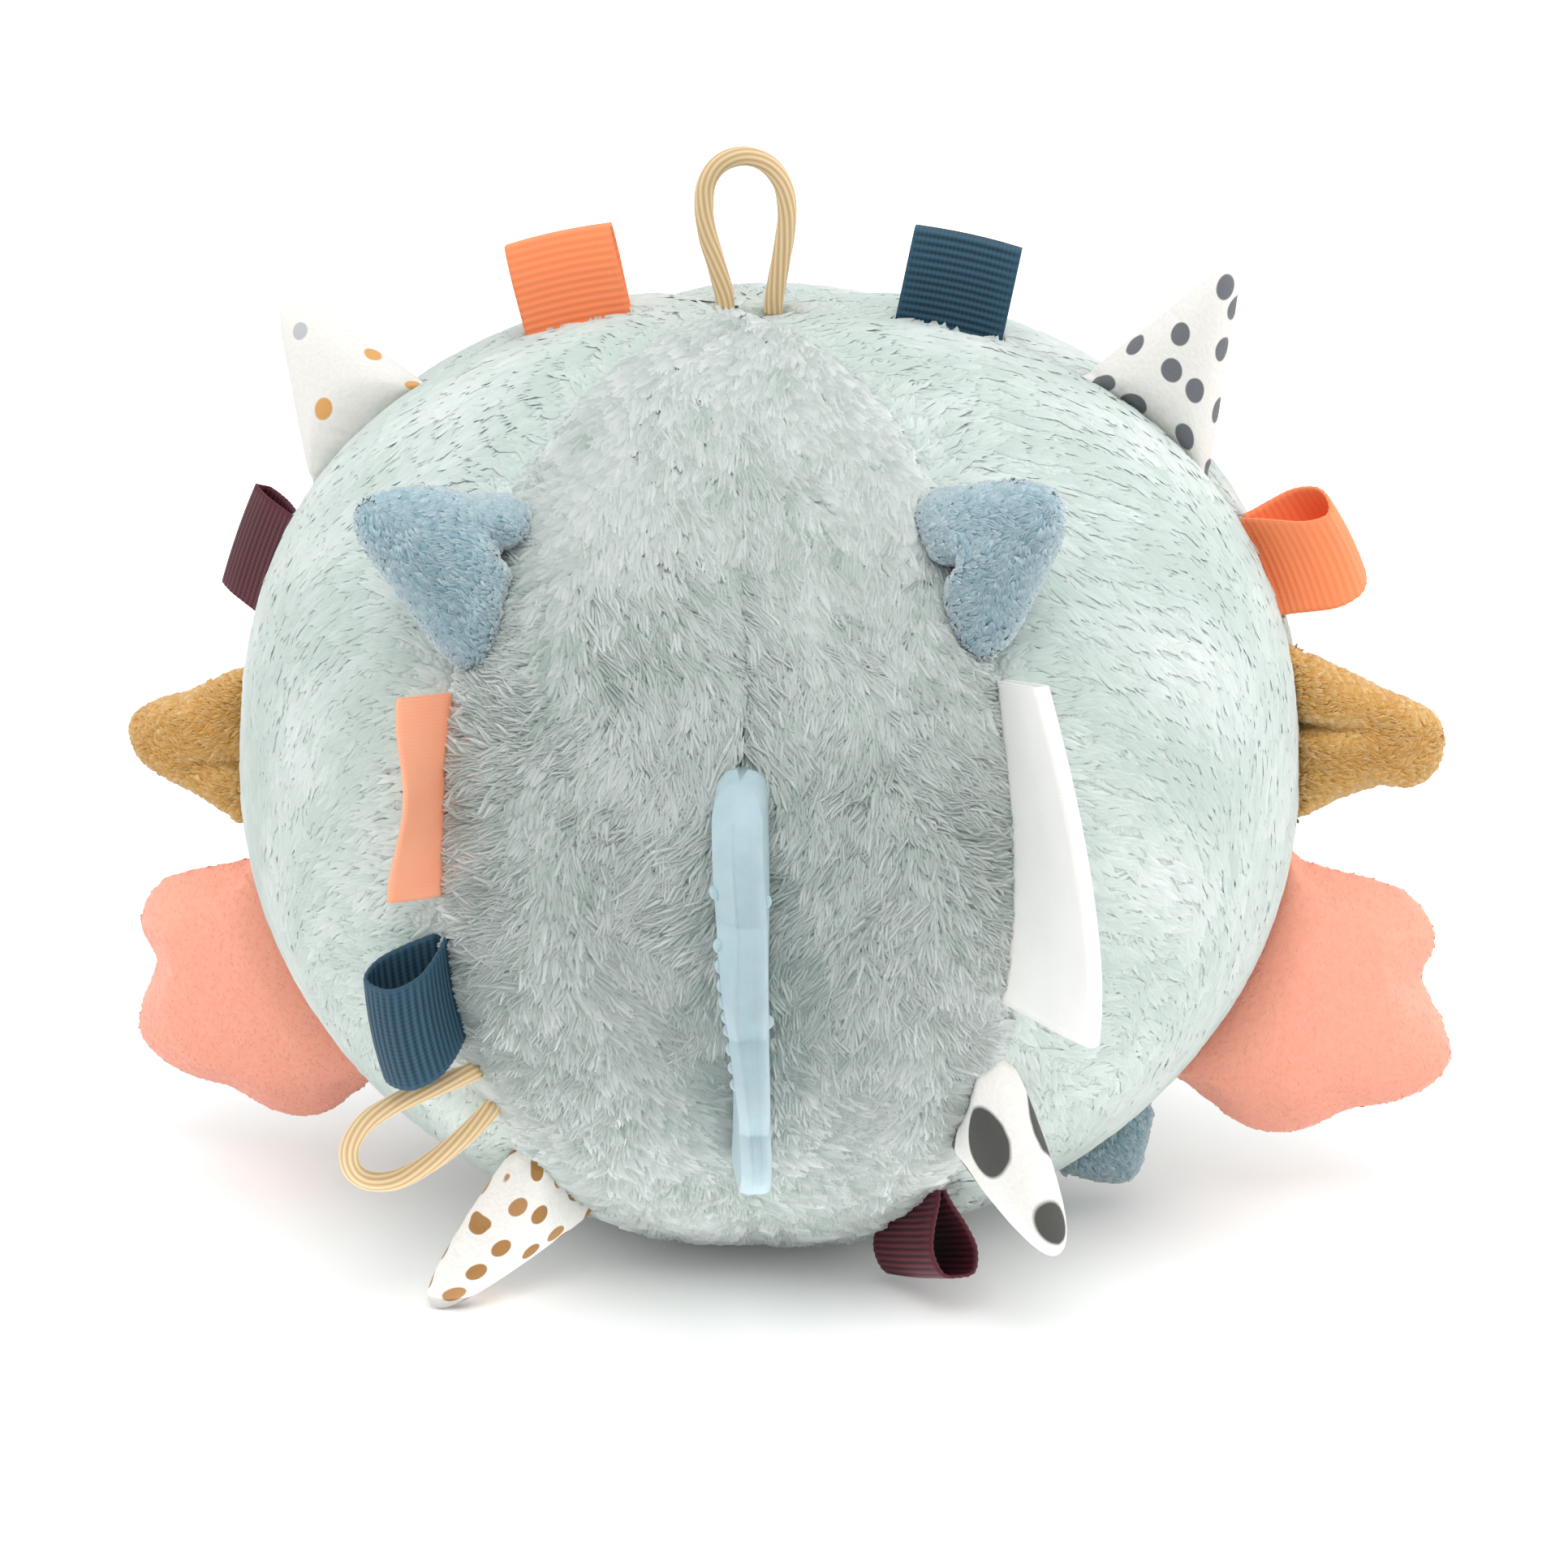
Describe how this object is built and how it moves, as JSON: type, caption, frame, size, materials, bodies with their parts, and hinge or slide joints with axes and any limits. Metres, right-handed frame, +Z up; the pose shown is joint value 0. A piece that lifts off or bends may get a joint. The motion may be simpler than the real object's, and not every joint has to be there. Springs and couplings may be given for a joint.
{
  "type": "activity ball",
  "caption": "Stuffed plush ball with ribbon loops, soft spikes, lobed fins, labels, elastic loops and a silicone teether sewn into its seams, and a rattle inside.",
  "frame": {"origin": "middle of the flattened base that the ball rests on", "axes": "+Z up, -Y out of the back seam that holds the teether, +X to the right for someone facing that seam"},
  "size_m": [0.1993, 0.1738, 0.1595],
  "materials": {
    "sage_plush": "long soft pile",
    "fibre_fill": "loose polyester fibre",
    "rattle_case": "smooth moulded plastic",
    "rattle_bead": "smooth moulded plastic",
    "orange_grosgrain": "ribbed ribbon",
    "navy_grosgrain": "ribbed ribbon",
    "maroon_grosgrain": "ribbed ribbon",
    "white_cotton": "printed cotton with dots",
    "mustard_plush": "short plush",
    "coral_velour": "velour with a very short nap",
    "blue_plush": "short plush",
    "orange_label": "satin tape",
    "white_label": "satin tape",
    "beige_elastic": "braided round elastic",
    "blue_silicone": "matt moulded silicone"
  },
  "bodies": {
    "ball": {"gore_back_left": "sage_plush", "gore_back_right": "sage_plush", "gore_right_rear": "sage_plush", "gore_right_front": "sage_plush", "gore_front": "sage_plush", "gore_left_front": "sage_plush", "gore_left_rear": "sage_plush", "fibre_fill_lower": "fibre_fill", "fibre_fill_upper": "fibre_fill", "rattle_cup": "rattle_case", "rattle_lid": "rattle_case"},
    "ribbon_orange_top": {"ribbon_orange_top": "orange_grosgrain"},
    "spike_dotted_left": {"spike_dotted_left": "white_cotton"},
    "ribbon_maroon_left": {"ribbon_maroon_left": "maroon_grosgrain"},
    "spike_mustard_left": {"spike_mustard_left": "mustard_plush"},
    "fin_coral_left": {"fin_coral_left": "coral_velour"},
    "ribbon_navy_top": {"ribbon_navy_top": "navy_grosgrain"},
    "spike_dotted_right": {"spike_dotted_right": "white_cotton"},
    "ribbon_orange_right": {"ribbon_orange_right": "orange_grosgrain"},
    "spike_mustard_right": {"spike_mustard_right": "mustard_plush"},
    "fin_coral_right": {"fin_coral_right": "coral_velour"},
    "foot_blue_right": {"foot_blue_right": "blue_plush"},
    "ear_blue_left": {"ear_blue_left": "blue_plush"},
    "label_orange": {"label_orange": "orange_label"},
    "ribbon_navy_back": {"ribbon_navy_back": "navy_grosgrain"},
    "elastic_loop_back": {"elastic_loop_back": "beige_elastic"},
    "spike_dotted_back_left": {"spike_dotted_back_left": "white_cotton"},
    "ear_blue_right": {"ear_blue_right": "blue_plush"},
    "label_white": {"label_white": "white_label"},
    "spike_dotted_back_right": {"spike_dotted_back_right": "white_cotton"},
    "ribbon_maroon_base": {"ribbon_maroon_base": "maroon_grosgrain"},
    "teether_tail": {"teether_tail": "blue_silicone"},
    "elastic_loop_top": {"elastic_loop_top": "beige_elastic"},
    "rattle_bead_1": {"rattle_bead_1": "rattle_bead"},
    "rattle_bead_2": {"rattle_bead_2": "rattle_bead"},
    "rattle_bead_3": {"rattle_bead_3": "rattle_bead"},
    "rattle_bead_4": {"rattle_bead_4": "rattle_bead"}
  },
  "joints": [
    {"name": "ribbon_orange_top_bend", "type": "hinge", "parent": "ball", "child": "ribbon_orange_top", "pos_m": [-0.02808, 0, 0.1318], "axis": [0.9749, 0, 0.2225], "range_deg": [-50, 50], "stiffness_Nm_per_rad": 0.012},
    {"name": "spike_dotted_left_bend", "type": "hinge", "parent": "ball", "child": "spike_dotted_left", "pos_m": [-0.0598, 0, 0.11524], "axis": [0.7103, 0, 0.7039], "range_deg": [-1, 49], "stiffness_Nm_per_rad": 0.02},
    {"name": "ribbon_maroon_left_bend", "type": "hinge", "parent": "ball", "child": "ribbon_maroon_left", "pos_m": [-0.07274, 0, 0.09482], "axis": [0.3397, 0, 0.9405], "range_deg": [-3, 97], "stiffness_Nm_per_rad": 0.012},
    {"name": "spike_mustard_left_bend", "type": "hinge", "parent": "ball", "child": "spike_mustard_left", "pos_m": [-0.0769, 0, 0.06633], "axis": [-0.0042, 0.0012, 1], "range_deg": [-7, 47], "stiffness_Nm_per_rad": 0.02},
    {"name": "fin_coral_left_bend", "type": "hinge", "parent": "ball", "child": "fin_coral_left", "pos_m": [-0.06812, -0.00111, 0.03427], "axis": [-0.5072, 0.0589, 0.8598], "range_deg": [-8, 48], "stiffness_Nm_per_rad": 0.04},
    {"name": "ribbon_navy_top_bend", "type": "hinge", "parent": "ball", "child": "ribbon_navy_top", "pos_m": [0.0262, 0, 0.13221], "axis": [-0.9795, 0, 0.2015], "range_deg": [-50, 50], "stiffness_Nm_per_rad": 0.012},
    {"name": "spike_dotted_right_bend", "type": "hinge", "parent": "ball", "child": "spike_dotted_right", "pos_m": [0.05568, 0, 0.11892], "axis": [-0.7769, 0, 0.6296], "range_deg": [-25, 25], "stiffness_Nm_per_rad": 0.02},
    {"name": "ribbon_orange_right_bend", "type": "hinge", "parent": "ball", "child": "ribbon_orange_right", "pos_m": [0.07141, 0, 0.09818], "axis": [-0.3973, 0, 0.9177], "range_deg": [-35, 35], "stiffness_Nm_per_rad": 0.012},
    {"name": "spike_mustard_right_bend", "type": "hinge", "parent": "ball", "child": "spike_mustard_right", "pos_m": [0.07673, 0, 0.07375], "axis": [-0.053, -0.0002, 0.9986], "range_deg": [-27, 27], "stiffness_Nm_per_rad": 0.02},
    {"name": "fin_coral_right_bend", "type": "hinge", "parent": "ball", "child": "fin_coral_right", "pos_m": [0.06986, -0.0009, 0.03743], "axis": [0.4591, 0.0548, 0.8867], "range_deg": [-28, 28], "stiffness_Nm_per_rad": 0.04},
    {"name": "foot_blue_right_bend", "type": "hinge", "parent": "ball", "child": "foot_blue_right", "pos_m": [0.04825, -0.00314, 0.01278], "axis": [0.7955, 0.0664, 0.6023], "range_deg": [-20, 20], "stiffness_Nm_per_rad": 0.02},
    {"name": "ear_blue_left_bend", "type": "hinge", "parent": "ball", "child": "ear_blue_left", "pos_m": [-0.0355, -0.05702, 0.10614], "axis": [0.2412, 0.4864, 0.8398], "range_deg": [-21, 29], "stiffness_Nm_per_rad": 0.02},
    {"name": "label_orange_bend", "type": "hinge", "parent": "ball", "child": "label_orange", "pos_m": [-0.03943, -0.06543, 0.07821], "axis": [0.0383, 0.0943, 0.9948], "range_deg": [-50, 50], "stiffness_Nm_per_rad": 0.012},
    {"name": "ribbon_navy_back_bend", "type": "hinge", "parent": "ball", "child": "ribbon_navy_back", "pos_m": [-0.03858, -0.06444, 0.05131], "axis": [-0.1373, -0.1976, 0.9706], "range_deg": [-20, 50], "stiffness_Nm_per_rad": 0.012},
    {"name": "elastic_loop_back_bend", "type": "hinge", "parent": "ball", "child": "elastic_loop_back", "pos_m": [-0.03466, -0.05879, 0.03448], "axis": [-0.2856, -0.4166, 0.863], "range_deg": [-18, 18], "stiffness_Nm_per_rad": 0.01},
    {"name": "spike_dotted_back_left_bend", "type": "hinge", "parent": "ball", "child": "spike_dotted_back_left", "pos_m": [-0.02644, -0.04666, 0.01699], "axis": [-0.4198, -0.6297, 0.6536], "range_deg": [-11, 39], "stiffness_Nm_per_rad": 0.02},
    {"name": "ear_blue_right_bend", "type": "hinge", "parent": "ball", "child": "ear_blue_right", "pos_m": [0.03255, -0.05654, 0.10894], "axis": [-0.3439, 0.4853, 0.8038], "range_deg": [-31, 19], "stiffness_Nm_per_rad": 0.02},
    {"name": "label_white_bend", "type": "hinge", "parent": "ball", "child": "label_white", "pos_m": [0.03949, -0.0658, 0.0735], "axis": [-0.0338, 0.0384, 0.9987], "range_deg": [-50, 40], "stiffness_Nm_per_rad": 0.012},
    {"name": "spike_dotted_back_right_bend", "type": "hinge", "parent": "ball", "child": "spike_dotted_back_right", "pos_m": [0.03465, -0.05877, 0.03445], "axis": [0.2859, -0.417, 0.8628], "range_deg": [-37, 13], "stiffness_Nm_per_rad": 0.02},
    {"name": "ribbon_maroon_base_bend", "type": "hinge", "parent": "ball", "child": "ribbon_maroon_base", "pos_m": [0.02465, -0.04399, 0.01438], "axis": [0.4358, -0.6574, 0.6148], "range_deg": [-35, 35], "stiffness_Nm_per_rad": 0.012},
    {"name": "teether_tail_bend", "type": "hinge", "parent": "ball", "child": "teether_tail", "pos_m": [0.00331, -0.07586, 0.0552], "axis": [0.0087, -0.1768, 0.9842], "range_deg": [-30, 30], "stiffness_Nm_per_rad": 0.06},
    {"name": "elastic_loop_top_bend", "type": "hinge", "parent": "ball", "child": "elastic_loop_top", "pos_m": [-0.0035, 0, 0.1344], "axis": [1, 0, 0], "range_deg": [-18, 18], "stiffness_Nm_per_rad": 0.01},
    {"name": "rattle_bead_1_drop", "type": "slide", "parent": "ball", "child": "rattle_bead_1", "axis": [0, 0, 1], "range_m": [0, 0.012]},
    {"name": "rattle_bead_2_drop", "type": "slide", "parent": "ball", "child": "rattle_bead_2", "axis": [0, 0, 1], "range_m": [0, 0.012]},
    {"name": "rattle_bead_3_drop", "type": "slide", "parent": "ball", "child": "rattle_bead_3", "axis": [0, 0, 1], "range_m": [0, 0.012]},
    {"name": "rattle_bead_4_drop", "type": "slide", "parent": "ball", "child": "rattle_bead_4", "axis": [0, 0, 1], "range_m": [0, 0.012]}
  ]
}
